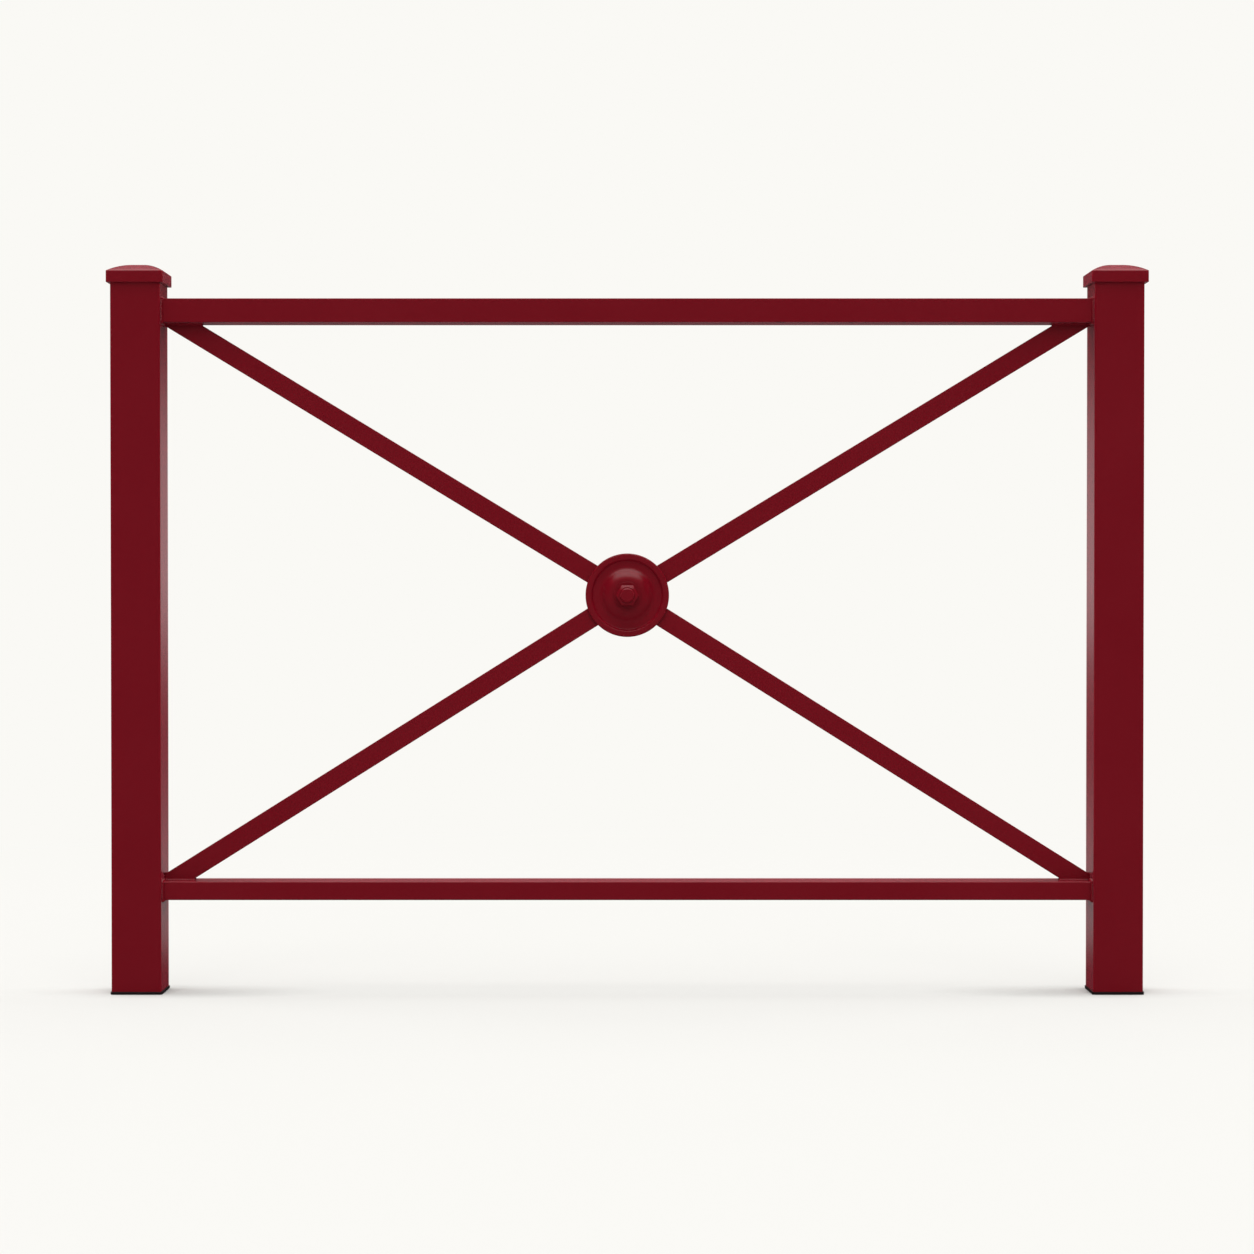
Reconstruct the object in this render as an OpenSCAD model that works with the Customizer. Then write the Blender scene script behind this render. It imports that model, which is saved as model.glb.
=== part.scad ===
// Pedestrian guard railing: two capped posts, two rails and a cross of
// four flat arms that meet at a bolted rosette.
// X runs along the railing, the front faces -Y and Z is up. The origin
// is the middle of the left foot's underside.

/* [Posts] */
// Distance between the centres of the two posts
post_pitch = 1380; // [1000:10:2000]
// Height of a post tube's top above the ground
post_top = 1012; // [700:1:1400]
// Outer width and depth of a post's square tube
post_w = 70; // [56:1:100]
// Wall thickness of a post
post_wall = 3; // [2:0.5:5]
// Outer radius of a post's long edges
post_round = 3; // [2:0.5:8]

/* [Caps] */
// Wall thickness of a cap's skirt
cap_wall = 4.7; // [3:0.1:8]
// Gap between a cap's skirt and the tube
cap_gap = 0.3; // [0.1:0.1:1]
// Height of a cap's upright skirt
cap_skirt = 15; // [13:0.5:30]
// Length of tube that a cap covers
cap_cover = 12; // [5:0.5:12]
// Width of the ledge inside a cap that rests on the tube
cap_ledge = 4; // [3:0.5:10]
// Rise of a cap's vaulted top above its skirt
cap_rise = 12.5; // [8:0.5:16]
// Radius where the skirt turns into the vault
cap_shoulder = 1.5; // [1:0.5:6]
// Radius of a cap's upright corners
cap_corner = 2; // [1:0.5:6]
// Thickness of a cap's vault
cap_roof = 4; // [2:0.5:5]

/* [Feet] */
// How far a foot's flange stands out past the post
foot_lip = 1.5; // [0:0.5:5]
// Thickness of a foot's flange
foot_flange = 4; // [2:0.5:10]
// Depth of a foot's plug inside the tube
plug_depth = 24; // [10:1:60]
// Wall thickness of a foot's plug
plug_wall = 3; // [2:0.5:6]
// Gap between a foot's plug and the tube
plug_gap = 0.3; // [0.1:0.1:1]

/* [Rails] */
// How far the rails' faces lie behind the posts' faces
rail_inset = 10; // [7:0.5:16]
// Height of the top rail
top_rail_h = 33.5; // [20:0.5:60]
// Height of the bottom rail
bottom_rail_h = 26; // [20:0.5:60]
// Wall thickness of both rails
rail_wall = 2; // [1.5:0.5:4]
// Outer radius of the rails' long edges
rail_round = 2.5; // [2:0.5:6]
// Distance from the caps' lower edge down to the top rail
top_rail_drop = 21.5; // [8:0.5:60]
// Clear height under the bottom rail
bottom_rail_z = 132; // [40:0.5:250]

/* [Arms] */
// Width of an arm's flat bar
arm_w = 28; // [20:0.5:36]
// Thickness of an arm's flat bar
arm_t = 8; // [5:0.5:14]
// How far below the top rail's middle the upper arms aim
upper_aim = 2.5; // [-5:0.5:10]
// How far above the bottom rail's middle the lower arms aim
lower_aim = 5; // [-5:0.5:10]

/* [Rosettes] */
// Height of the hub above the middle between the rails
hub_lift = 8; // [-40:0.5:40]
// Outer diameter of a rosette
rosette_d = 118; // [105:1:140]
// Metal thickness of a rosette
rosette_t = 3; // [2:0.5:3]
// Height of a rosette's flat crown above the arms
crown_h = 12; // [9:0.5:20]
// Width of the flat crown left around the washer
crown_margin = 2; // [1:0.5:6]
// Radius where the dome below the crown runs out into the valley
dome_foot = 3; // [2:0.5:6]
// Width of the flat valley between the dome and the rim
valley_w = 8; // [4:0.5:10]
// Height of the valley's floor above the arms
valley_h = 3.5; // [3.5:0.5:5]
// Width of a rosette's raised rim
rim_w = 10; // [8:0.5:12]
// Height of the raised rim above the arms
rim_h = 6; // [5.5:0.5:8]
// Width of the slope on the rim's inner side
rim_slope = 3.5; // [2.5:0.5:5]
// Radius at the foot of that slope
rim_foot = 1; // [0.5:0.1:1.2]
// Radius of the rim's outer edge
rim_round = 2; // [1:0.5:3]

/* [Hub core] */
// How far the core's ring reaches past the corner where two arms meet
ring_margin = 3; // [1:0.5:6]
// How far the core's ends lie inside the rosettes' flat crowns
spacer_inset = 3; // [1:0.5:5]

/* [Hub bolt] */
// Diameter of the bolt's shank
bolt_d = 20; // [12:1:22]
// Gap between the bolt and what it passes through
bolt_gap = 0.5; // [0.2:0.1:1.5]
// Width across flats of the bolt's head and of the nut
hex_w = 28; // [26:1:33]
// Width of the bevel around the head's and the nut's faces
hex_bevel = 2.5; // [0.5:0.5:3]
// Height of the bolt's head
head_h = 11.5; // [8:0.5:14]
// Height of the nut
nut_h = 15; // [10:0.5:20]
// Length of bolt that stands out of the nut
bolt_end = 5; // [2:0.5:12]
// Bevel at the bolt's end
bolt_bevel = 1.5; // [0.5:0.5:2]
// Diameter of the washers
washer_d = 38; // [34:1:44]
// Thickness of the washers
washer_t = 3; // [1.5:0.5:5]

/* [Welds] */
// Leg of the weld between a rail and a post
rail_weld = 4; // [2:0.5:5]
// Leg of the weld at an arm's end
arm_weld = 3; // [2:0.5:5]

/* [Hidden] */
$fn = 96;
half = 0.5;
// Angle of the bevels on the head and the nut
bevel_angle = 30;
// Flats along each arc of a rosette's section
arc_steps = 8;
paint = [0.4, 0.06, 0.09];
plastic = [0.06, 0.06, 0.07];

face_x = post_w * half;
bay = post_pitch - post_w;
cap_z = post_top - cap_cover;
cap_w = post_w + 2 * (cap_gap + cap_wall);
rail_d = post_w - 2 * rail_inset;
rail_round_in = max(rail_round - rail_wall, rail_wall * half);
tube_inside = post_w - 2 * post_wall;
tube_inside_round = max(post_round - post_wall, post_wall * half);
rail_bead = min(rail_weld, rail_inset - post_round);

top_rail_z = cap_z - top_rail_drop - top_rail_h;
bottom_rail_top = bottom_rail_z + bottom_rail_h;
top_mid = top_rail_z + top_rail_h * half;
bottom_mid = bottom_rail_z + bottom_rail_h * half;
hub_x = post_pitch * half;
hub_z = (top_mid + bottom_mid) * half + hub_lift;
upper_z = top_mid - upper_aim;
lower_z = bottom_mid + lower_aim;
arm_y = arm_t * half;
arm_slant = atan(min(upper_z - hub_z, hub_z - lower_z) / (hub_x - face_x));

bore = bolt_d + 2 * bolt_gap;
crown_r = washer_d * half + crown_margin;
valley_r = rosette_d * half - rim_w - valley_w;
ring_r = arm_w * half / sin(arm_slant) + ring_margin;

// Points along an arc round (cx, cy), from angle a to angle b
function arc(cx, cy, r, a, b) =
    [for (i = [0 : arc_steps])
        let (t = a + (b - a) * i / arc_steps)
        [cx + r * cos(t), cy + r * sin(t)]];

// Two arcs that join a level and a lower one smoothly: their radii together
function joined_radii(run, drop) = (run * run + drop * drop) / (2 * drop);

// The same two arcs: the angle that each of them sweeps
function joined_sweep(run, drop) = 2 * atan(drop / run);

// Rectangle with rounded corners, centred
module rounded_rect(w, h, r) {
    square([w - 2 * r, h], center = true);
    square([w, h - 2 * r], center = true);
    for (x = [-1, 1], y = [-1, 1])
        translate([x * (w * half - r), y * (h * half - r)]) circle(r);
}

// Wall of a rectangular tube, as an outline
module tube_section(w, h, wall, round_out, round_in) {
    difference() {
        rounded_rect(w, h, round_out);
        rounded_rect(w - 2 * wall, h - 2 * wall, round_in);
    }
}

// The same shape at the other end of the railing
module at_right() {
    translate([post_pitch, 0, 0]) mirror([1, 0, 0]) children();
}

// The same shape behind the railing
module at_rear() {
    mirror([0, 1, 0]) children();
}

// Extrudes along X an outline drawn in Y and Z
module along_x(length) {
    rotate([90, 0, 90]) linear_extrude(length) children();
}

// Extrudes an outline drawn in X and Z, half to the front and half to the rear
module through_y(length) {
    rotate([90, 0, 0]) linear_extrude(length, center = true) children();
}

// Puts a shape on the hub's axis, with its Z towards the front
module on_hub_axis() {
    translate([hub_x, 0, hub_z]) rotate([90, 0, 0]) children();
}

module post() {
    color(paint)
        translate([0, 0, foot_flange])
            linear_extrude(post_top - foot_flange)
                tube_section(post_w, post_w, post_wall, post_round, tube_inside_round);
}

// A square cap is an outline that runs both along X and along Y
module crossed() {
    intersection() {
        through_y(cap_w) children();
        translate([-cap_w * half, 0, 0]) along_x(cap_w) children();
    }
}

module post_cap() {
    reach = cap_w * half - cap_shoulder;
    above = cap_rise - cap_shoulder;
    crown = (reach * reach + cap_rise * cap_rise - cap_shoulder * cap_shoulder) / (2 * above);
    tangent_x = reach * crown / (crown - cap_shoulder);
    inside = face_x - cap_ledge;
    crown_z = cap_skirt + cap_rise - crown;
    color(paint)
        translate([0, 0, cap_z])
            difference() {
                intersection() {
                    linear_extrude(cap_skirt + cap_rise) rounded_rect(cap_w, cap_w, cap_corner);
                    crossed() {
                        translate([-cap_w * half, 0]) square([cap_w, cap_skirt]);
                        for (x = [-1, 1])
                            translate([x * reach, cap_skirt]) circle(cap_shoulder);
                        intersection() {
                            translate([0, crown_z]) circle(crown);
                            translate([-tangent_x, cap_skirt]) square([2 * tangent_x, cap_rise]);
                        }
                    }
                }
                crossed() intersection() {
                    translate([0, crown_z]) circle(crown - cap_roof);
                    translate([-inside, cap_cover * half]) square([2 * inside, cap_skirt + cap_rise]);
                }
                translate([0, 0, -cap_cover])
                    linear_extrude(2 * cap_cover)
                        rounded_rect(post_w + 2 * cap_gap, post_w + 2 * cap_gap, post_round + cap_gap);
            }
}

module foot_plug() {
    plug_w = tube_inside - 2 * plug_gap;
    flange_w = post_w + 2 * foot_lip;
    color(plastic) {
        linear_extrude(foot_flange)
            rounded_rect(flange_w, flange_w, post_round + foot_lip);
        linear_extrude(foot_flange + plug_depth)
            tube_section(plug_w, plug_w, plug_wall, tube_inside_round, tube_inside_round);
    }
}

module rail(z, h) {
    color(paint)
        translate([face_x, 0, z + h * half])
            along_x(bay)
                tube_section(rail_d, h, rail_wall, rail_round, rail_round_in);
}

// Outline of a left arm: a strip from the hub to the post and the rail
module arm_outline(aim_z) {
    difference() {
        intersection() {
            translate([hub_x, hub_z])
                rotate(atan2(aim_z - hub_z, face_x - hub_x))
                    translate([0, -arm_w * half]) square([bay, arm_w]);
            translate([face_x, bottom_rail_top])
                square([hub_x - face_x, top_rail_z - bottom_rail_top]);
        }
        translate([hub_x, hub_z]) circle(ring_r);
    }
}

module arm(aim_z) {
    color(paint) through_y(arm_t) arm_outline(aim_z);
}

// Turned core: the arms butt its ring, the rosettes bear on its ends
module hub_core() {
    spacer_r = crown_r - spacer_inset;
    spacer_h = arm_t + 2 * (crown_h - rosette_t);
    color(paint)
        on_hub_axis()
            difference() {
                union() {
                    cylinder(h = arm_t, r = ring_r, center = true);
                    cylinder(h = spacer_h, r = spacer_r, center = true);
                }
                cylinder(h = 2 * spacer_h, d = bore, center = true);
            }
}

// Section of a rosette: flat crown, dome, valley and raised rim
module rosette_section() {
    run = valley_r - crown_r;
    drop = crown_h - valley_h;
    dome_r = joined_radii(run, drop) - dome_foot;
    dome_sweep = joined_sweep(run, drop);
    rim_in = rosette_d * half - rim_w + rim_slope;
    rim_out = rosette_d * half - rim_round;
    rise = rim_h - valley_h;
    rim_r = joined_radii(rim_slope, rise) - rim_foot;
    rim_sweep = joined_sweep(rim_slope, rise);
    polygon(concat(
        [[bore * half, crown_h]],
        arc(crown_r, crown_h - dome_r, dome_r, 90, 90 - dome_sweep),
        arc(valley_r, valley_h + dome_foot, dome_foot, 270 - dome_sweep, 270),
        arc(rim_in - rim_slope, valley_h + rim_foot, rim_foot, 270, 270 + rim_sweep),
        arc(rim_in, rim_h - rim_r, rim_r, 90 + rim_sweep, 90),
        arc(rim_out, rim_h - rim_round, rim_round, 90, 0),
        [[rosette_d * half, 0], [valley_r, 0]],
        arc(valley_r, valley_h + dome_foot, dome_foot + rosette_t, 270, 270 - dome_sweep),
        arc(crown_r, crown_h - dome_r, dome_r - rosette_t, 90 - dome_sweep, 90),
        [[bore * half, crown_h - rosette_t]]
    ));
}

module rosette() {
    color(paint)
        on_hub_axis()
            translate([0, 0, arm_y]) rotate_extrude() rosette_section();
}

// Cone that bevels the corners of a hexagon at its outer face
module hex_bevel_cone(h) {
    flat_r = hex_w * half - hex_bevel;
    cylinder(h = h, r1 = flat_r + h / tan(bevel_angle), r2 = flat_r);
}

// Hexagon with a flat up and its outer edge bevelled
module hex_block(h) {
    intersection() {
        cylinder(h = h, d = hex_w / cos(180 / 6), $fn = 6);
        hex_bevel_cone(h);
    }
}

module hub_bolt() {
    head_z = arm_y + crown_h + washer_t;
    shank = 2 * head_z + nut_h + bolt_end;
    color(paint)
        on_hub_axis() {
            translate([0, 0, head_z]) hex_block(head_h);
            translate([0, 0, head_z - shank + bolt_bevel])
                cylinder(h = shank - bolt_bevel, d = bolt_d);
            translate([0, 0, head_z - shank])
                cylinder(h = bolt_bevel, d1 = bolt_d - 2 * bolt_bevel, d2 = bolt_d);
        }
}

module hub_nut() {
    color(paint)
        on_hub_axis()
            translate([0, 0, arm_y + crown_h + washer_t])
                difference() {
                    hex_block(nut_h);
                    translate([0, 0, -nut_h]) cylinder(h = 3 * nut_h, d = bolt_d);
                }
}

module washer() {
    color(paint)
        on_hub_axis()
            translate([0, 0, arm_y + crown_h])
                difference() {
                    cylinder(h = washer_t, d = washer_d);
                    translate([0, 0, -washer_t]) cylinder(h = 3 * washer_t, d = bore);
                }
}

// Symmetric outline that narrows by the weld's leg on both sides
module taper(size, leg) {
    polygon([[-size * half - leg, 0], [size * half + leg, 0], [size * half, leg], [-size * half, leg]]);
}

// Fillet weld round the end of a rounded tube that stands on a plate at z = 0
module bead_ring(w, h, r, leg) {
    difference() {
        union() {
            rotate([90, 0, 90]) linear_extrude(w - 2 * r, center = true) taper(h, leg);
            rotate([90, 0, 0]) linear_extrude(h - 2 * r, center = true) taper(w, leg);
            for (x = [-1, 1], y = [-1, 1])
                translate([x * (w * half - r), y * (h * half - r), 0])
                    cylinder(h = leg, r1 = r + leg, r2 = r);
        }
        linear_extrude(3 * leg, center = true) rounded_rect(w, h, r);
    }
}

// Weld round a rail's left end, left open where an arm comes in at its side
module rail_end_weld(z, h, arm_side) {
    open_w = arm_t + 2 * arm_weld;
    color(paint)
        translate([face_x, 0, z + h * half])
            rotate([90, 0, 90])
                difference() {
                    bead_ring(rail_d, h, rail_round, rail_bead);
                    translate([0, arm_side * h * half, 0])
                        cube([open_w, h, 3 * rail_bead], center = true);
                }
}

// Section of the fillet in the corner between an arm's face and a plate
module fillet_section() {
    polygon([[0, 0], [arm_weld, 0], [0, arm_weld]]);
}

// Fillet welds along the front face of a left arm, at the rail and at the post
module arm_front_weld(aim_z, rail_z, inward) {
    intersection() {
        through_y(arm_t + 2 * arm_weld) arm_outline(aim_z);
        union() {
            translate([face_x, -arm_y, rail_z])
                along_x(bay * half) scale([-1, inward]) fillet_section();
            translate([face_x, -arm_y, bottom_rail_top])
                linear_extrude(top_rail_z - bottom_rail_top) scale([1, -1]) fillet_section();
        }
    }
}

module arm_end_weld(aim_z, rail_z, inward) {
    color(paint) {
        arm_front_weld(aim_z, rail_z, inward);
        at_rear() arm_front_weld(aim_z, rail_z, inward);
    }
}

post();  // left_post
at_right() post();  // right_post
post_cap();  // left_post_cap
at_right() post_cap();  // right_post_cap
foot_plug();  // left_foot_plug
at_right() foot_plug();  // right_foot_plug
rail(top_rail_z, top_rail_h);  // top_rail
rail(bottom_rail_z, bottom_rail_h);  // bottom_rail
arm(upper_z);  // upper_left_arm
at_right() arm(upper_z);  // upper_right_arm
arm(lower_z);  // lower_left_arm
at_right() arm(lower_z);  // lower_right_arm
hub_core();
rosette();  // front_rosette
at_rear() rosette();  // rear_rosette
at_rear() hub_bolt();
hub_nut();
washer();  // front_washer
at_rear() washer();  // rear_washer
rail_end_weld(top_rail_z, top_rail_h, -1);  // top_left_weld
at_right() rail_end_weld(top_rail_z, top_rail_h, -1);  // top_right_weld
rail_end_weld(bottom_rail_z, bottom_rail_h, 1);  // bottom_left_weld
at_right() rail_end_weld(bottom_rail_z, bottom_rail_h, 1);  // bottom_right_weld
arm_end_weld(upper_z, top_rail_z, -1);  // upper_left_arm_weld
at_right() arm_end_weld(upper_z, top_rail_z, -1);  // upper_right_arm_weld
arm_end_weld(lower_z, bottom_rail_top, 1);  // lower_left_arm_weld
at_right() arm_end_weld(lower_z, bottom_rail_top, 1);  // lower_right_arm_weld
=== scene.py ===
# Pedestrian guard railing: the looks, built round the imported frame.
import math

import bmesh
import bpy
from mathutils import Matrix, Vector


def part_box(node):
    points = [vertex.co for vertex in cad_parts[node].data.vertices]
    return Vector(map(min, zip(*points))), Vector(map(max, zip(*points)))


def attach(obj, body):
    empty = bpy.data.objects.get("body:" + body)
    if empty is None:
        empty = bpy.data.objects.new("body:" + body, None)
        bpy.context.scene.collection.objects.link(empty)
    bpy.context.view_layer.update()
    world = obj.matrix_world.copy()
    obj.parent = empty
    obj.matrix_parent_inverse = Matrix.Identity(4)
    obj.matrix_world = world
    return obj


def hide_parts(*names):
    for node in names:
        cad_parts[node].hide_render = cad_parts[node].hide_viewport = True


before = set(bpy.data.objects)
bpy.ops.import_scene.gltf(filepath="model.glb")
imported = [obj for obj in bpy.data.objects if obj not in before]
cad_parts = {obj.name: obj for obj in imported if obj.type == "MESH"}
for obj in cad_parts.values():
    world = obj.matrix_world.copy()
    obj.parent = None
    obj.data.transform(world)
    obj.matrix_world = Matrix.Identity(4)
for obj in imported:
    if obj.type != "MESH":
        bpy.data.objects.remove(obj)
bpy.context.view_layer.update()        # every CAD node, at rest
mm = 0.001
print("frame loaded:", len(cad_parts), "nodes")


# Small helpers that every piece uses

def newObject(name, data):
    obj = bpy.data.objects.new(name, data)
    bpy.context.scene.collection.objects.link(obj)
    return obj


def keepPiece(obj, slotName, *nodes):
    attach(obj, "root")
    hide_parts(*nodes)


def middle(node):
    low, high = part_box(node)
    return (low + high) / 2


def shadeByAngle(mesh, degrees):
    mesh.shade_smooth()
    mesh.set_sharp_from_angle(angle=math.radians(degrees))


def applyModifier(obj, kind, **settings):
    modifier = obj.modifiers.new("finish", kind)
    for name, value in settings.items():
        setattr(modifier, name, value)
    depsgraph = bpy.context.evaluated_depsgraph_get()
    mesh = bpy.data.meshes.new_from_object(obj.evaluated_get(depsgraph), depsgraph=depsgraph)
    obj.modifiers.remove(modifier)
    obj.data = mesh
    return mesh


def keepFlat(obj):
    # normals weighed by area, so that a flat face stays flat up to its rounded edge
    applyModifier(obj, "WEIGHTED_NORMAL", mode="FACE_AREA", weight=100, keep_sharp=True)


def addNode(tree, kind, **settings):
    node = tree.nodes.new(kind)
    for name, value in settings.items():
        setattr(node, name, value)
    return node


def setInputs(node, **values):
    for name, value in values.items():
        node.inputs[name.replace("_", " ")].default_value = value


def geometryTree(name, inputs):
    tree = bpy.data.node_groups.new(name, "GeometryNodeTree")
    face = tree.interface
    face.new_socket("Geometry", in_out="INPUT", socket_type="NodeSocketGeometry")
    for label, kind in inputs.items():
        face.new_socket(label, in_out="INPUT", socket_type="NodeSocket" + kind)
    face.new_socket("Geometry", in_out="OUTPUT", socket_type="NodeSocketGeometry")
    return tree


def runTree(carrier, tree, values):
    # the inputs are set by identifier before the object is first evaluated
    modifier = carrier.modifiers.new("build", "NODES")
    modifier.node_group = tree
    for item in tree.interface.items_tree:
        if item.in_out == "INPUT" and item.name in values:
            modifier[item.identifier] = values[item.name]
    depsgraph = bpy.context.evaluated_depsgraph_get()
    mesh = bpy.data.meshes.new_from_object(carrier.evaluated_get(depsgraph), depsgraph=depsgraph)
    carrier.modifiers.remove(modifier)
    bpy.data.objects.remove(carrier)
    return mesh


def calc(tree, operation, *values):
    node = addNode(tree, "ShaderNodeMath", operation=operation)
    for socket, value in zip(node.inputs, values):
        if isinstance(value, bpy.types.NodeSocket):
            tree.links.new(value, socket)
        else:
            socket.default_value = value
    return node.outputs[0]


# Camera, fitted to the photograph

camera = {
    "lens": 82.17,         # mm
    "sensorWidth": 36,     # mm
    "distance": 4.050,     # from the railing's middle plane
    "height": 0.5704,
    "sideways": -0.0004,   # from the hub's axis
    "pitch": 0.764,        # degrees down
}


def buildCamera():
    data = bpy.data.cameras.new("camera")
    data.lens = camera["lens"]
    data.sensor_width = camera["sensorWidth"]
    obj = newObject("camera", data)
    hub = middle("hub_core")
    obj.location = (hub.x + camera["sideways"], -camera["distance"], camera["height"])
    obj.rotation_euler = (math.radians(90 - camera["pitch"]), 0, 0)
    bpy.context.scene.camera = obj


buildCamera()
print("camera placed")


# Materials

def surfaceGroup():
    # shared finish: slow colour drift, fine peel or grain, and uneven gloss
    tree = bpy.data.node_groups.new("coatedSurface", "ShaderNodeTree")
    face = tree.interface
    for label, kind in {
        "Color": "Color", "Drift": "Float", "Drift Scale": "Float", "Gloss": "Float",
        "Gloss Spread": "Float", "Peel Scale": "Float", "Grain Scale": "Float", "Grain": "Float",
    }.items():
        face.new_socket(label, in_out="INPUT", socket_type="NodeSocket" + kind)
    for label, kind in {"Color": "Color", "Roughness": "Float", "Height": "Float"}.items():
        face.new_socket(label, in_out="OUTPUT", socket_type="NodeSocket" + kind)
    link = tree.links.new
    given = addNode(tree, "NodeGroupInput").outputs
    result = addNode(tree, "NodeGroupOutput").inputs
    place = addNode(tree, "ShaderNodeTexCoord").outputs["Object"]

    def noise(scale, detail):
        node = addNode(tree, "ShaderNodeTexNoise")
        node.inputs["Detail"].default_value = detail
        link(place, node.inputs["Vector"])
        link(scale, node.inputs["Scale"])
        return node.outputs["Fac"]

    # colour: a slow drift of brightness round 1
    swing = calc(tree, "SUBTRACT", noise(given["Drift Scale"], detail=3), 0.5)
    shade = addNode(tree, "ShaderNodeHueSaturation")
    link(given["Color"], shade.inputs["Color"])
    link(calc(tree, "MULTIPLY_ADD", swing, given["Drift"], 1), shade.inputs["Value"])
    link(shade.outputs["Color"], result["Color"])

    # gloss: the same drift, seen as patches a little duller
    link(calc(tree, "MULTIPLY_ADD", swing, given["Gloss Spread"], given["Gloss"]),
         result["Roughness"])

    # height: broad peel with a finer grain on it
    peel = noise(given["Peel Scale"], detail=1)
    grain = noise(given["Grain Scale"], detail=2)
    link(calc(tree, "MULTIPLY_ADD", grain, given["Grain"], peel), result["Height"])
    return tree


coatedSurface = surfaceGroup()


def buildMaterial(name, finish, bumpHeight, shine):
    material = bpy.data.materials.new(name)
    material.use_nodes = True
    tree = material.node_tree
    link = tree.links.new
    shader = tree.nodes["Principled BSDF"]
    surface = addNode(tree, "ShaderNodeGroup", node_tree=coatedSurface)
    setInputs(surface, **finish)
    bump = addNode(tree, "ShaderNodeBump")
    setInputs(bump, Strength=1, Distance=bumpHeight)
    setInputs(shader, **shine)
    link(surface.outputs["Color"], shader.inputs["Base Color"])
    link(surface.outputs["Roughness"], shader.inputs["Roughness"])
    link(surface.outputs["Height"], bump.inputs["Height"])
    link(bump.outputs["Normal"], shader.inputs["Normal"])
    return material


redPaint = {
    "Color": (0.140, 0.0018, 0.0068, 1),
    "Drift": 0.10, "Drift_Scale": 7.0,
    "Gloss": 0.24, "Gloss_Spread": 0.06,
    "Peel_Scale": 420.0, "Grain_Scale": 1900.0, "Grain": 0.25,
}
paintShine = {"Specular_IOR_Level": 0.3, "Sheen_Weight": 0.11, "Sheen_Roughness": 0.4,
              "Sheen_Tint": (1, 0.16, 0.24, 1)}    # powder coat glows a little at a slant
blackPlastic = {
    "Color": (0.009, 0.005, 0.005, 1),
    "Drift": 0.15, "Drift_Scale": 20.0,
    "Gloss": 0.55, "Gloss_Spread": 0.10,
    "Peel_Scale": 900.0, "Grain_Scale": 3000.0, "Grain": 0.8,
}
plasticShine = {"Specular_IOR_Level": 0.12}
paintMaterial = buildMaterial("wineRedPowderCoat", redPaint, 0.01 * mm, paintShine)
plasticMaterial = buildMaterial("blackMouldedPlastic", blackPlastic, 0.03 * mm, plasticShine)
print("materials ready")


# Posts and rails: one Geometry Nodes tree draws the tube's wall and extrudes it

tubes = {
    "cornerSteps": 8, "sharpAngle": 30, "mergeWithin": 0.01 * mm,
    "postWall": 3 * mm, "postRound": 3 * mm, "postRoundInside": 1.5 * mm,
    "railWall": 2 * mm, "railRound": 1.3 * mm, "railRoundInside": 0.8 * mm,
}


def tubeTree():
    tree = geometryTree("roundedTube", {
        "Width": "Float", "Height": "Float", "Wall": "Float", "Length": "Float",
        "Outer Radius": "Float", "Inner Radius": "Float", "Corner Steps": "Int",
        "Material": "Material",
    })
    link = tree.links.new
    given = addNode(tree, "NodeGroupInput").outputs
    result = addNode(tree, "NodeGroupOutput").inputs

    def outline(width, height, radius):
        box = addNode(tree, "GeometryNodeCurvePrimitiveQuadrilateral")
        link(width, box.inputs["Width"])
        link(height, box.inputs["Height"])
        corners = addNode(tree, "GeometryNodeFilletCurve", mode="POLY")
        link(box.outputs["Curve"], corners.inputs["Curve"])
        link(given["Corner Steps"], corners.inputs["Count"])
        link(radius, corners.inputs["Radius"])
        return corners.outputs["Curve"]

    def lessTwoWalls(size):
        return calc(tree, "MULTIPLY_ADD", given["Wall"], -2, size)

    both = addNode(tree, "GeometryNodeJoinGeometry")
    link(outline(given["Width"], given["Height"], given["Outer Radius"]), both.inputs[0])
    link(outline(lessTwoWalls(given["Width"]), lessTwoWalls(given["Height"]),
                 given["Inner Radius"]), both.inputs[0])
    wall = addNode(tree, "GeometryNodeFillCurve", mode="NGONS")
    link(both.outputs[0], wall.inputs["Curve"])
    raised = addNode(tree, "GeometryNodeExtrudeMesh", mode="FACES")
    raised.inputs["Offset"].default_value = (0, 0, 1)
    raised.inputs["Individual"].default_value = False
    link(wall.outputs["Mesh"], raised.inputs["Mesh"])
    link(given["Length"], raised.inputs["Offset Scale"])
    bottom = addNode(tree, "GeometryNodeFlipFaces")
    link(wall.outputs["Mesh"], bottom.inputs["Mesh"])
    shell = addNode(tree, "GeometryNodeJoinGeometry")
    link(raised.outputs["Mesh"], shell.inputs[0])
    link(bottom.outputs["Mesh"], shell.inputs[0])
    closed = addNode(tree, "GeometryNodeMergeByDistance")
    closed.inputs["Distance"].default_value = tubes["mergeWithin"]
    link(shell.outputs[0], closed.inputs["Geometry"])
    plain = addNode(tree, "GeometryNodeRealizeInstances")
    link(closed.outputs["Geometry"], plain.inputs["Geometry"])
    painted = addNode(tree, "GeometryNodeSetMaterial")
    link(plain.outputs["Geometry"], painted.inputs["Geometry"])
    link(given["Material"], painted.inputs["Material"])
    link(painted.outputs["Geometry"], result["Geometry"])
    return tree


roundedTube = tubeTree()


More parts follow.
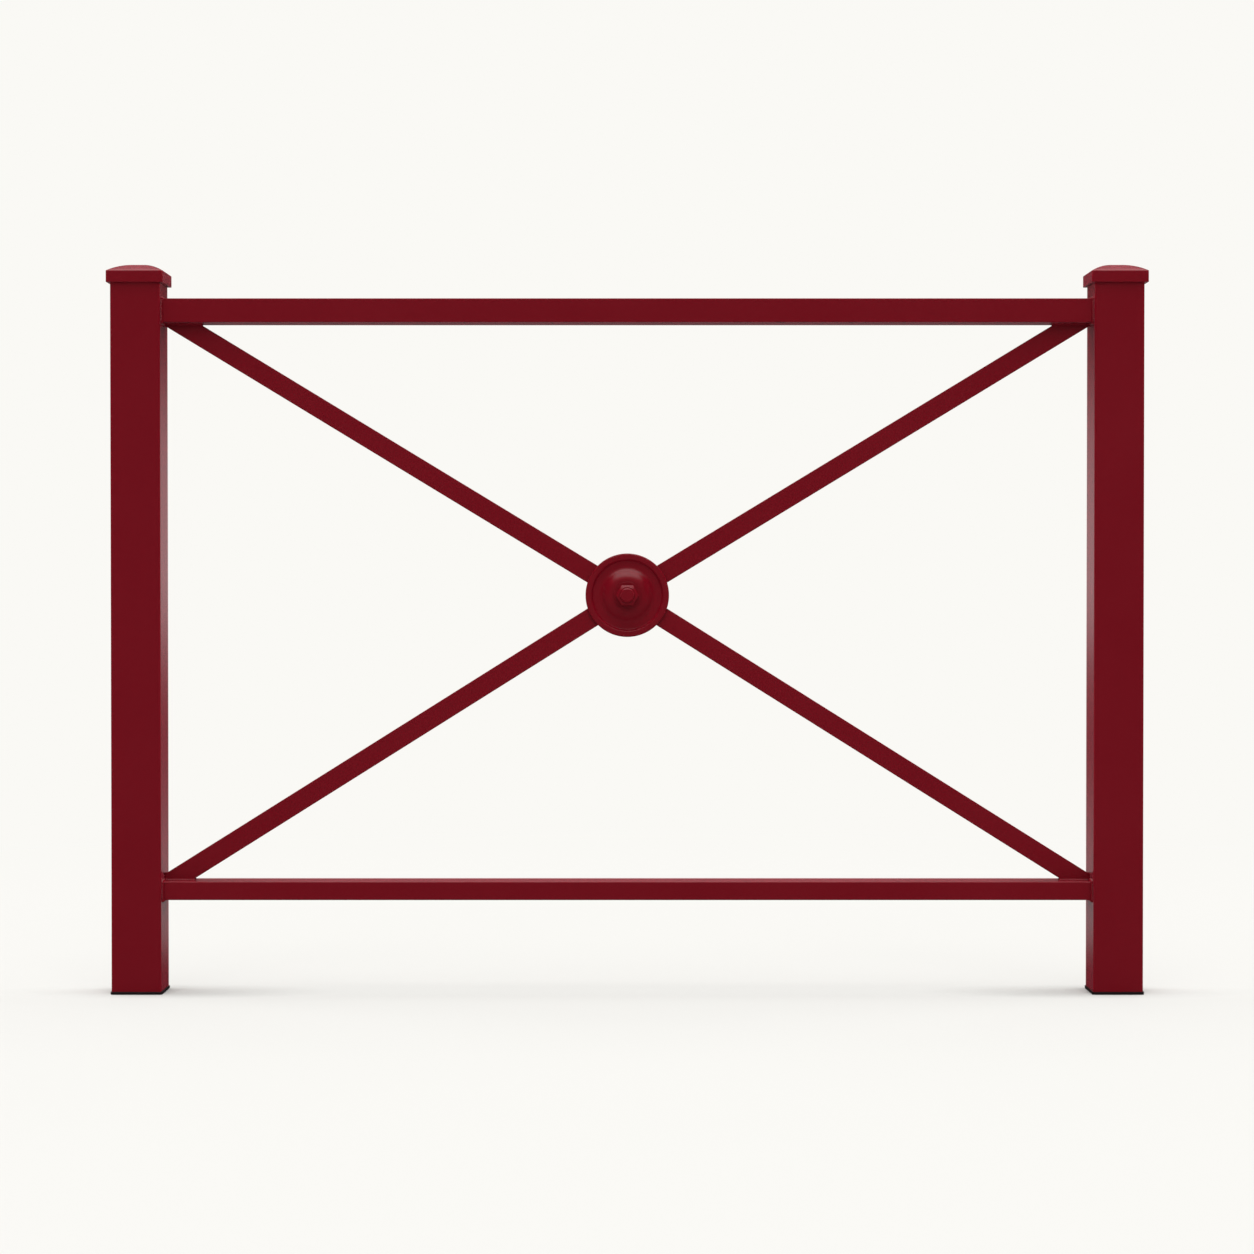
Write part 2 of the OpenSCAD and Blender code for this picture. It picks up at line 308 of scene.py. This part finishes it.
def buildTube(node, kind, turn):
    # turn maps the tube's own length, Z, onto the railing's axis
    low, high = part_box(node)
    size = turn.inverted() @ (high - low)
    size = Vector(abs(part) for part in size)
    carrier = newObject("carrier", bpy.data.meshes.new("carrier"))
    mesh = runTree(carrier, roundedTube, {
        "Width": size.x, "Height": size.y, "Length": size.z,
        "Wall": tubes[kind + "Wall"],
        "Outer Radius": tubes[kind + "Round"],
        "Inner Radius": tubes[kind + "RoundInside"],
        "Corner Steps": tubes["cornerSteps"],
        "Material": paintMaterial,
    })
    foot = (low + high) / 2 - turn @ Vector((0, 0, size.z / 2))
    mesh.transform(Matrix.Translation(foot) @ turn.to_4x4())
    shadeByAngle(mesh, tubes["sharpAngle"])
    obj = newObject(node + "_tube", mesh)
    keepFlat(obj)
    keepPiece(obj, "red_paint", node)


upright = Matrix.Identity(3)
lengthways = Matrix(((0, 0, 1), (1, 0, 0), (0, 1, 0)))
for node in ("left_post", "right_post"):
    buildTube(node, "post", upright)
for node in ("top_rail", "bottom_rail"):
    buildTube(node, "rail", lengthways)
print("posts and rails drawn")


# Flat bars and small fittings keep the CAD shape and get a rolled or cast edge

edges = {
    # kind: width of the rounded edge, and the least turn in degrees that gets one
    "arm": (0.9 * mm, 35), "cap": (0.8 * mm, 50), "plug": (0.8 * mm, 50),
    "bolt": (0.35 * mm, 20), "washer": (0.4 * mm, 50),
    "steps": 3, "sharpAngle": 40,
    "mergeWithin": 0.002 * mm,
    "flatWithin": 0.5,         # degrees between triangles that are one flat face
}


def cleanCopy(node):
    # a CAD mesh is loose triangles: merge them, then fuse the flat ones
    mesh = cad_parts[node].data.copy()
    work = bmesh.new()
    work.from_mesh(mesh)
    bmesh.ops.remove_doubles(work, verts=work.verts, dist=edges["mergeWithin"])
    bmesh.ops.dissolve_limit(work, angle_limit=math.radians(edges["flatWithin"]),
                             verts=work.verts, edges=work.edges)
    work.to_mesh(mesh)
    work.free()
    mesh.materials.clear()
    if "custom_normal" in mesh.attributes:
        mesh.attributes.remove(mesh.attributes["custom_normal"])
    return mesh


def buildEdged(node, kind, material=paintMaterial, slotName="red_paint"):
    width, leastTurn = edges[kind]
    mesh = cleanCopy(node)
    mesh.materials.append(material)
    obj = newObject(node + "_edged", mesh)
    rounded = applyModifier(obj, "BEVEL", width=width, segments=edges["steps"],
                            limit_method="ANGLE", angle_limit=math.radians(leastTurn))
    shadeByAngle(rounded, edges["sharpAngle"])
    keepFlat(obj)
    keepPiece(obj, slotName, node)


for height in ("upper", "lower"):
    for side in ("left", "right"):
        buildEdged(f"{height}_{side}_arm", "arm")
for side in ("left", "right"):
    buildEdged(side + "_post_cap", "cap")
    buildEdged(side + "_foot_plug", "plug", plasticMaterial, "black_plastic")
for node in ("hub_bolt", "hub_nut"):
    buildEdged(node, "bolt")
for node in ("front_washer", "rear_washer"):
    buildEdged(node, "washer")
print("arms, caps and fittings edged")


def keepDrawn(work, node, ending, sharpAngle):
    # closes the drawn faces, turns them outwards, and paints and keeps the piece
    bmesh.ops.remove_doubles(work, verts=work.verts, dist=0.001 * mm)
    bmesh.ops.recalc_face_normals(work, faces=work.faces)
    mesh = bpy.data.meshes.new(node)
    work.to_mesh(mesh)
    work.free()
    mesh.materials.append(paintMaterial)
    shadeByAngle(mesh, sharpAngle)
    keepPiece(newObject(node + ending, mesh), "red_paint", node)


# Rosettes, turned: a flat crown, a dome that runs out softly, and a raised rim

rosette = {
    "metal": 3 * mm,
    "crown": 19.5 * mm,        # radius of the flat crown
    "domeRadius": 20.5 * mm,
    "valley": 41.0 * mm,       # radius where the dome has run out
    "valleyHeight": 3.2 * mm, "rimHeight": 6.6 * mm,
    "slopeStart": 47.0 * mm, "slopeWidth": 5.0 * mm,
    "rimRound": 2.0 * mm,
    "hole": 10.5 * mm,
    "arcSteps": 14, "turnSteps": 160, "sharpAngle": 40,
}


def arc(center, radius, start, end):
    steps = rosette["arcSteps"]
    angles = [math.radians(start + (end - start) * i / steps) for i in range(steps + 1)]
    return [(center[0] + radius * math.cos(a), center[1] + radius * math.sin(a)) for a in angles]


def rosetteSection(outside, height):
    run, drop = rosette["valley"] - rosette["crown"], height - rosette["valleyHeight"]
    sweep = math.degrees(2 * math.atan(drop / run))
    dome = rosette["domeRadius"]
    hollow = (run * run + drop * drop) / (2 * drop) - dome
    slope, rise = rosette["slopeWidth"], rosette["rimHeight"] - rosette["valleyHeight"]
    rim = (slope * slope + rise * rise) / (4 * rise)
    rimSweep = math.degrees(2 * math.atan(rise / slope))
    start, low, top = rosette["slopeStart"], rosette["valleyHeight"], rosette["rimHeight"]
    metal, edge = rosette["metal"], rosette["rimRound"]
    return (
        [(rosette["hole"], height)]
        + arc((rosette["crown"], height - dome), dome, 90, 90 - sweep)
        + arc((rosette["valley"], low + hollow), hollow, 270 - sweep, 270)
        + arc((start, low + rim), rim, 270, 270 + rimSweep)
        + arc((start + slope, top - rim), rim, 90 + rimSweep, 90)
        + arc((outside - edge, top - edge), edge, 90, 0)
        + [(outside, 0), (rosette["valley"], 0)]
        + arc((rosette["valley"], low + hollow), hollow + metal, 270, 270 - sweep)
        + arc((rosette["crown"], height - dome), dome - metal, 90 - sweep, 90)
        + [(rosette["hole"], height - metal)]
    )


def buildRosette(node, outwards):
    # outwards is -1 for the front and 1 for the rear
    low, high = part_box(node)
    middlePoint = (low + high) / 2
    base = high.y if outwards < 0 else low.y
    section = rosetteSection((high.x - low.x) / 2, high.y - low.y)
    turns = rosette["turnSteps"]
    work = bmesh.new()
    rings = []
    for i in range(turns):
        angle = 2 * math.pi * i / turns
        rings.append([work.verts.new((middlePoint.x + r * math.cos(angle), base + outwards * h,
                                      middlePoint.z + r * math.sin(angle))) for r, h in section])
    for i in range(turns):
        here, there = rings[i], rings[(i + 1) % turns]
        for k in range(len(section)):
            after = (k + 1) % len(section)
            work.faces.new((here[k], here[after], there[after], there[k]))
    keepDrawn(work, node, "_turned", rosette["sharpAngle"])


buildRosette("front_rosette", -1)
buildRosette("rear_rosette", 1)
print("rosettes turned")


# Weld beads: one Geometry Nodes tree lays a rippled bead along a path of edges

weld = {
    "fill": 0.85,              # share of the weld's leg that the bead takes
    "ripple": 2.2 * mm,        # length of one ripple
    "rippleDepth": 0.16,       # share of the bead's size
    "step": 0.4 * mm,
    "armCorner": 1 * mm,       # radius of the path's corners at the arms' ends
    "cornerSteps": 6, "roundSteps": 7, "sharpAngle": 50,
}


def weldTree():
    tree = geometryTree("weldBead", {
        "Leg": "Float", "Corner Radius": "Float", "Ripple": "Float", "Ripple Depth": "Float",
        "Step": "Float", "Round Steps": "Int", "Material": "Material",
    })
    link = tree.links.new
    given = addNode(tree, "NodeGroupInput").outputs
    result = addNode(tree, "NodeGroupOutput").inputs
    path = addNode(tree, "GeometryNodeMeshToCurve")
    link(given["Geometry"], path.inputs["Mesh"])
    corners = addNode(tree, "GeometryNodeFilletCurve", mode="POLY")
    link(path.outputs["Curve"], corners.inputs["Curve"])
    corners.inputs["Count"].default_value = weld["cornerSteps"]
    corners.inputs["Limit Radius"].default_value = True
    link(given["Corner Radius"], corners.inputs["Radius"])
    fine = addNode(tree, "GeometryNodeResampleCurve", mode="LENGTH")
    link(corners.outputs["Curve"], fine.inputs["Curve"])
    link(given["Step"], fine.inputs["Length"])
    level = addNode(tree, "GeometryNodeSetCurveNormal", mode="Z_UP")
    link(fine.outputs["Curve"], level.inputs["Curve"])

    # size along the path: 1 - depth + depth * |sin(pi * length / ripple)|
    along = calc(tree, "DIVIDE", addNode(tree, "GeometryNodeSplineParameter").outputs["Length"],
                 given["Ripple"])
    wave = calc(tree, "ABSOLUTE", calc(tree, "SINE", calc(tree, "MULTIPLY", along, math.pi)))
    size = calc(tree, "ADD", calc(tree, "SUBTRACT", 1, given["Ripple Depth"]),
                calc(tree, "MULTIPLY", wave, given["Ripple Depth"]))

    section = addNode(tree, "GeometryNodeCurveArc", mode="RADIUS")
    section.inputs["Start Angle"].default_value = math.radians(-90)
    section.inputs["Sweep Angle"].default_value = math.radians(90)
    section.inputs["Connect Center"].default_value = True
    link(given["Round Steps"], section.inputs["Resolution"])
    link(given["Leg"], section.inputs["Radius"])
    bead = addNode(tree, "GeometryNodeCurveToMesh")
    bead.inputs["Fill Caps"].default_value = True
    link(level.outputs["Curve"], bead.inputs["Curve"])
    link(section.outputs["Curve"], bead.inputs["Profile Curve"])
    link(size, bead.inputs["Scale"])
    plain = addNode(tree, "GeometryNodeRealizeInstances")
    link(bead.outputs["Mesh"], plain.inputs["Geometry"])
    painted = addNode(tree, "GeometryNodeSetMaterial")
    link(plain.outputs["Geometry"], painted.inputs["Geometry"])
    link(given["Material"], painted.inputs["Material"])
    link(painted.outputs["Geometry"], result["Geometry"])
    return tree


weldBead = weldTree()


def axes(across, upward, outward, origin):
    # a drawing plane: its two directions, the way the bead stands out, and where it starts
    turn = Matrix((across, upward, outward)).transposed().to_4x4()
    return Matrix.Translation(origin) @ turn


def layBead(work, points, closed, leg, corner, plane):
    # the bead lies on the right of the path, as seen from outside
    drawn = bpy.data.meshes.new("path")
    count = len(points)
    links = [(i, (i + 1) % count) for i in range(count if closed else count - 1)]
    drawn.from_pydata([(x, y, 0) for x, y in points], links, [])
    mesh = runTree(newObject("path", drawn), weldBead, {
        "Leg": leg * weld["fill"], "Corner Radius": corner, "Ripple": weld["ripple"],
        "Ripple Depth": weld["rippleDepth"], "Step": weld["step"],
        "Round Steps": weld["roundSteps"], "Material": paintMaterial,
    })
    mesh.transform(plane)
    work.from_mesh(mesh)


def buildRailWeld(height, side):
    node = f"{height}_{side}_weld"
    low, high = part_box(node)
    leg = high.x - low.x
    away = 1 if side == "left" else -1
    face = low.x if side == "left" else high.x
    railLow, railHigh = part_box(height + "_rail")
    y, z = away * railHigh.y, (railLow.z, railHigh.z)
    plane = axes((0, away, 0), (0, 0, 1), (away, 0, 0), (face, 0, 0))
    outline = [(-abs(y), z[0]), (abs(y), z[0]), (abs(y), z[1]), (-abs(y), z[1])]
    work = bmesh.new()
    layBead(work, outline, True, leg, tubes["railRound"], plane)
    keepDrawn(work, node, "_bead", weld["sharpAngle"])


def buildArmWeld(height, side):
    arm = f"{height}_{side}_arm"
    low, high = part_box(arm + "_weld")
    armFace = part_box(arm)[1].y
    leg = high.y - armFace
    postX, endX = (low.x, high.x) if side == "left" else (high.x, low.x)
    railZ, endZ = (high.z, low.z) if height == "upper" else (low.z, high.z)
    points = [(postX, endZ), (postX, railZ), (endX, railZ)]
    if (height == "upper") != (side == "left"):
        points.reverse()
    behind = [(-x, z) for x, z in reversed(points)]
    work = bmesh.new()
    layBead(work, points, False, leg, weld["armCorner"],
            axes((1, 0, 0), (0, 0, 1), (0, -1, 0), (0, -armFace, 0)))
    layBead(work, behind, False, leg, weld["armCorner"],
            axes((-1, 0, 0), (0, 0, 1), (0, 1, 0), (0, armFace, 0)))
    keepDrawn(work, arm + "_weld", "_bead", weld["sharpAngle"])


for side in ("left", "right"):
    for height in ("top", "bottom"):
        buildRailWeld(height, side)
    for height in ("upper", "lower"):
        buildArmWeld(height, side)
print("weld beads laid")


# The turned core between the rosettes is hidden but for its edge

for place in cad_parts["hub_core"].material_slots:
    place.material = paintMaterial


# Studio: pale backdrop and floor, soft boxes above, a dark room behind the camera

studio = {
    "background": (0.956, 0.947, 0.913, 1),
    # name: level on a face that looks at the lamp, its width, azimuth and height in degrees
    "lamps": {
        "keyFront": (0.54, 60, 0, 40),
        "keyBack": (0.36, 60, 180, 40),
        "overhead": (1.20, 60, 0, 90),
        "fillFront": (0.12, 90, 0, 0),
        "fillRight": (0.90, 50, 105, 12),
        "fillLeft": (0.90, 50, -105, 12),
    },
    "floorBounce": 0.42,      # share of the light that the floor gives back to the paint
    "shadowDepth": 0.38,      # how strongly the floor shows the railing's shadow
    "shadowReach": (1.2, 2.6),
    "footShadow": 0.62,       # and how much more close to the feet, on the railing's line
    "footReach": (0.04, 0.26), "footSquash": 3.2, "footShift": 0.04,
    "floorSize": 60,          # half the floor's side, in metres
    # what the gloss shows, by the sine of the height above the horizon
    "behind": ((0, 0.75), (0.03, 0.55), (0.05, 0.55), (0.065, 0.25), (0.075, 0.02),
               (0.095, 0.02), (0.105, 0.08), (0.17, 0.12), (0.45, 0.30), (0.7, 1.2), (1, 2.1)),
    "front": ((0, 0.015), (0.54, 0.015), (0.72, 3.1), (1, 3.1)),
    "frontReach": (0.42, 0.68),    # how far to the sides the front's light goes
    "frontToBehind": (-0.1, 0.5),  # where the one gives way to the other
    # and on the floor, by the distance behind the railing in parts of glossSpan metres
    "floorGloss": ((0.008, 0.02), (0.016, 0.10), (0.026, 0.28), (0.036, 0.34), (0.08, 0.26),
                   (0.16, 0.12), (0.26, 0.03), (0.44, 0.06), (0.80, 0.12), (0.99, 0.40)),
    "glossSpan": 25,
    "curveTop": 4,            # the highest level that the curves can hold
}


def mapRange(tree, value, fromMin, fromMax, toMin, toMax):
    node = addNode(tree, "ShaderNodeMapRange", interpolation_type="SMOOTHSTEP")
    tree.links.new(value, node.inputs["Value"])
    for name, number in (("From Min", fromMin), ("From Max", fromMax),
                         ("To Min", toMin), ("To Max", toMax)):
        node.inputs[name].default_value = number
    return node.outputs["Result"]


def levels(tree, value, stops):
    node = addNode(tree, "ShaderNodeFloatCurve")
    curve = node.mapping.curves[0]
    node.mapping.clip_max_y = studio["curveTop"]
    node.mapping.extend = "HORIZONTAL"
    for point, stop in zip(curve.points, (stops[0], stops[-1])):
        point.location = stop
    for stop in stops[1:-1]:
        curve.points.new(*stop)
    for point in curve.points:
        point.handle_type = "VECTOR"
    node.mapping.update()
    tree.links.new(value, node.inputs["Value"])
    return node.outputs["Value"]


def glow(tree, kind, strength, color=None):
    node = addNode(tree, kind)
    if color:
        node.inputs["Color"].default_value = color
    if isinstance(strength, bpy.types.NodeSocket):
        tree.links.new(strength, node.inputs["Strength"])
    else:
        node.inputs["Strength"].default_value = strength
    return node.outputs[0]


def choose(tree, factor, otherwise, chosen):
    node = addNode(tree, "ShaderNodeMixShader")
    for socket, value in zip(node.inputs, (factor, otherwise, chosen)):
        tree.links.new(value, socket)
    return node.outputs[0]


def buildWorld():
    world = bpy.data.worlds.new("studio")
    bpy.context.scene.world = world
    world.cycles_visibility.diffuse = False    # the lamps light the paint, the world its gloss
    world.use_nodes = True
    tree = world.node_tree
    tree.nodes.clear()
    direction = addNode(tree, "ShaderNodeSeparateXYZ")
    tree.links.new(addNode(tree, "ShaderNodeTexCoord").outputs["Generated"], direction.inputs[0])
    back, up = direction.outputs["Y"], direction.outputs["Z"]
    behind = mapRange(tree, back, *studio["frontToBehind"], 0, 1)
    rear = calc(tree, "MULTIPLY", levels(tree, up, studio["behind"]), behind)
    sideways = calc(tree, "ABSOLUTE", direction.outputs["X"])
    window = mapRange(tree, sideways, *studio["frontReach"], 1, 0)
    face = calc(tree, "MULTIPLY", levels(tree, up, studio["front"]), window)
    face = calc(tree, "MULTIPLY", face, calc(tree, "SUBTRACT", 1, behind))
    seen = calc(tree, "ADD", rear, face)
    isCamera = addNode(tree, "ShaderNodeLightPath").outputs["Is Camera Ray"]
    final = choose(tree, isCamera, glow(tree, "ShaderNodeBackground", seen),
                   glow(tree, "ShaderNodeBackground", 1, studio["background"]))
    tree.links.new(final, addNode(tree, "ShaderNodeOutputWorld").inputs["Surface"])


def buildLamps():
    for name, (level, width, azimuth, height) in studio["lamps"].items():
        data = bpy.data.lights.new(name, "SUN")
        data.energy = math.pi * level
        data.angle = math.radians(width)
        lamp = newObject(name, data)
        lamp.rotation_euler = (math.radians(90 - height), 0, math.radians(azimuth))
        lamp.visible_glossy = False


def buildFloor():
    mesh = bpy.data.meshes.new("floor")
    work = bmesh.new()
    bmesh.ops.create_grid(work, x_segments=1, y_segments=1, size=studio["floorSize"])
    work.to_mesh(mesh)
    work.free()
    material = bpy.data.materials.new("floor")
    material.use_nodes = True
    tree = material.node_tree
    tree.nodes.clear()
    rays = addNode(tree, "ShaderNodeLightPath").outputs
    place = addNode(tree, "ShaderNodeTexCoord").outputs["Object"]
    parts = addNode(tree, "ShaderNodeSeparateXYZ")
    tree.links.new(place, parts.inputs[0])
    away = addNode(tree, "ShaderNodeVectorMath", operation="LENGTH")
    tree.links.new(place, away.inputs[0])

    # the camera sees the background's own tone, and the railing's shadow near its feet
    lit = sum(level * math.sin(math.radians(height))
              for level, width, azimuth, height in studio["lamps"].values())
    pale = addNode(tree, "ShaderNodeBsdfDiffuse")
    pale.inputs["Color"].default_value = [part / lit for part in studio["background"][:3]] + [1]
    near = mapRange(tree, away.outputs["Value"], *studio["shadowReach"], studio["shadowDepth"], 0)
    squashed = addNode(tree, "ShaderNodeVectorMath", operation="MULTIPLY")
    tree.links.new(place, squashed.inputs[0])
    squashed.inputs[1].default_value = (1, studio["footSquash"], 1)
    for foot, inwards in (("left_foot_plug", 1), ("right_foot_plug", -1)):
        gap = addNode(tree, "ShaderNodeVectorMath", operation="DISTANCE")
        tree.links.new(squashed.outputs[0], gap.inputs[0])
        gap.inputs[1].default_value = (
            middle(foot).x - middle("hub_core").x + inwards * studio["footShift"], 0, 0)
        close = mapRange(tree, gap.outputs["Value"], *studio["footReach"], studio["footShadow"], 0)
        near = calc(tree, "ADD", near, close)
    plain = glow(tree, "ShaderNodeEmission", 1, studio["background"])
    tone = choose(tree, near, plain, pale.outputs[0])

    # the paint is lit by a dimmer floor, and its gloss shows a floor of its own
    bounce = addNode(tree, "ShaderNodeBsdfDiffuse")
    bounce.inputs["Color"].default_value = [studio["floorBounce"]] * 3 + [1]
    distance = calc(tree, "DIVIDE", parts.outputs["Y"], studio["glossSpan"])
    gloss = glow(tree, "ShaderNodeEmission", levels(tree, distance, studio["floorGloss"]))
    shown = choose(tree, rays["Is Glossy Ray"], bounce.outputs[0], gloss)
    final = choose(tree, rays["Is Camera Ray"], shown, tone)
    tree.links.new(final, addNode(tree, "ShaderNodeOutputMaterial").inputs["Surface"])
    mesh.materials.append(material)
    obj = newObject("floor", mesh)
    obj.location.x = middle("hub_core").x


buildWorld()
buildLamps()
buildFloor()
bpy.context.scene.view_settings.view_transform = "Standard"
print("studio ready")
